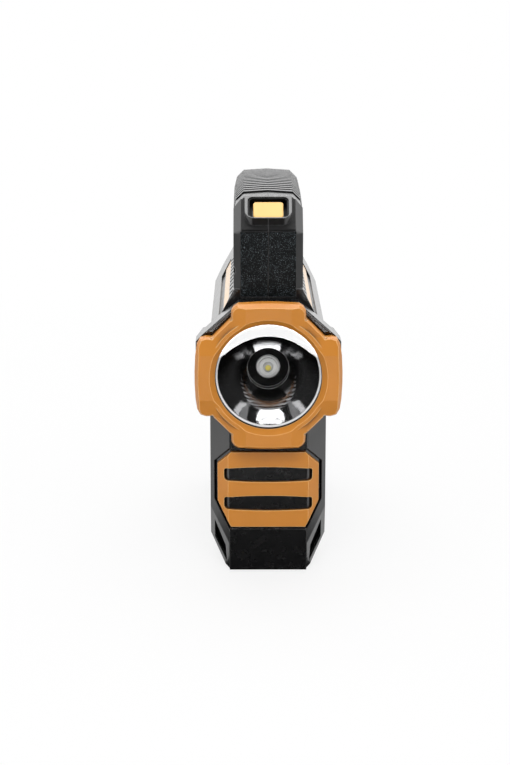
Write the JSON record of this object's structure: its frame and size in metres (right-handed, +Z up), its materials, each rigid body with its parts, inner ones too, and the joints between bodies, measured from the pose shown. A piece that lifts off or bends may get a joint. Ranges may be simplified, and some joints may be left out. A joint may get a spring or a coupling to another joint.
{
  "type": "jump starter pack",
  "caption": "Hand-held car jump starter: arched grip over a slim case, spotlight head in front, covered sockets at the back.",
  "frame": {"origin": "middle of the footprint, on the ground under the feet", "axes": "+X across the case to the right seen from the lamp, +Y from the lamp towards the socket bay, +Z up"},
  "size_m": [0.0728, 0.182, 0.1944],
  "materials": {
    "shell_plastic": "fine-textured black moulding",
    "gloss_black": "glossy black moulding",
    "amber_plastic": "semi-gloss amber moulding",
    "button_amber": "translucent amber button, semi-gloss",
    "grip_rubber": "soft moulded grip rubber",
    "seal_rubber": "matt black seal rubber",
    "pad_rubber": "pimpled dark grey rubber",
    "lens_clear": "clear polished",
    "reflector_metal": "vacuum-metallised mirror finish",
    "shroud_black": "matt black",
    "lamp_board": "white-coated aluminium board",
    "emitter_metal": "satin",
    "dome_silicone": "clear silicone over a yellow phosphor",
    "sink_aluminium": "extruded, satin",
    "tray_plastic": "dark grey moulding",
    "cell_pouch": "laminated foil pouch",
    "foam_grey": "closed-cell foam",
    "bus_nickel": "nickel-plated brass strip",
    "board_green": "glass-fibre circuit board with green solder mask",
    "board_part": "black component bodies",
    "screw_steel": "zinc-plated",
    "socket_blue": "blue moulding",
    "contact_brass": "gold-plated",
    "socket_steel": "tin-plated shell",
    "lens_green": "frosted light pipe"
  },
  "bodies": {
    "case": {"housing_left": "shell_plastic", "housing_right": "shell_plastic", "head_collar": "gloss_black", "bezel": "amber_plastic", "lens": "lens_clear", "lens_seal": "seal_rubber", "reflector": "reflector_metal", "led_shroud": "shroud_black", "led_board": "lamp_board", "led_emitter": "emitter_metal", "led_dome": "dome_silicone", "heat_sink": "sink_aluminium", "front_plate": "gloss_black", "front_panel": "amber_plastic", "shoulder_panel_left": "amber_plastic", "shoulder_panel_right": "amber_plastic", "front_pad_left": "pad_rubber", "front_pad_right": "pad_rubber", "grip_pad": "grip_rubber", "button_seal": "seal_rubber", "power_switch": "board_part", "battery_tray": "tray_plastic", "battery_cell_1": "cell_pouch", "battery_cell_2": "cell_pouch", "battery_cell_3": "cell_pouch", "battery_cell_4": "cell_pouch", "cell_foam": "foam_grey", "busbars": "bus_nickel", "main_board": "board_green", "board_parts": "board_part", "board_screws": "screw_steel", "socket_panel": "shell_plastic", "output_socket": "socket_blue", "output_contacts": "contact_brass", "usb_sockets": "socket_steel", "charge_socket": "board_part", "socket_board": "board_green", "indicator_lens": "lens_green", "check_switch": "board_part", "port_seal": "seal_rubber", "hinge_pin": "screw_steel", "case_screws": "screw_steel", "rubber_feet": "seal_rubber"},
    "power_button": {"power_button": "button_amber"},
    "check_button": {"check_button": "button_amber"},
    "port_cover": {"port_cover": "shell_plastic"}
  },
  "joints": [
    {"name": "power_button_press", "type": "slide", "parent": "case", "child": "power_button", "axis": [0, 0.6088, -0.7933], "range_m": [0, 0.0012], "stiffness_N_per_m": 1500, "springref_m": -0.0004},
    {"name": "check_button_press", "type": "slide", "parent": "case", "child": "check_button", "axis": [0, -1, 0], "range_m": [0, 0.0008], "stiffness_N_per_m": 1500, "springref_m": -0.0004},
    {"name": "port_cover_turn", "type": "hinge", "parent": "case", "child": "port_cover", "pos_m": [0, 0.089, 0.0353], "axis": [-1, 0, 0], "range_deg": [0, 110]}
  ]
}
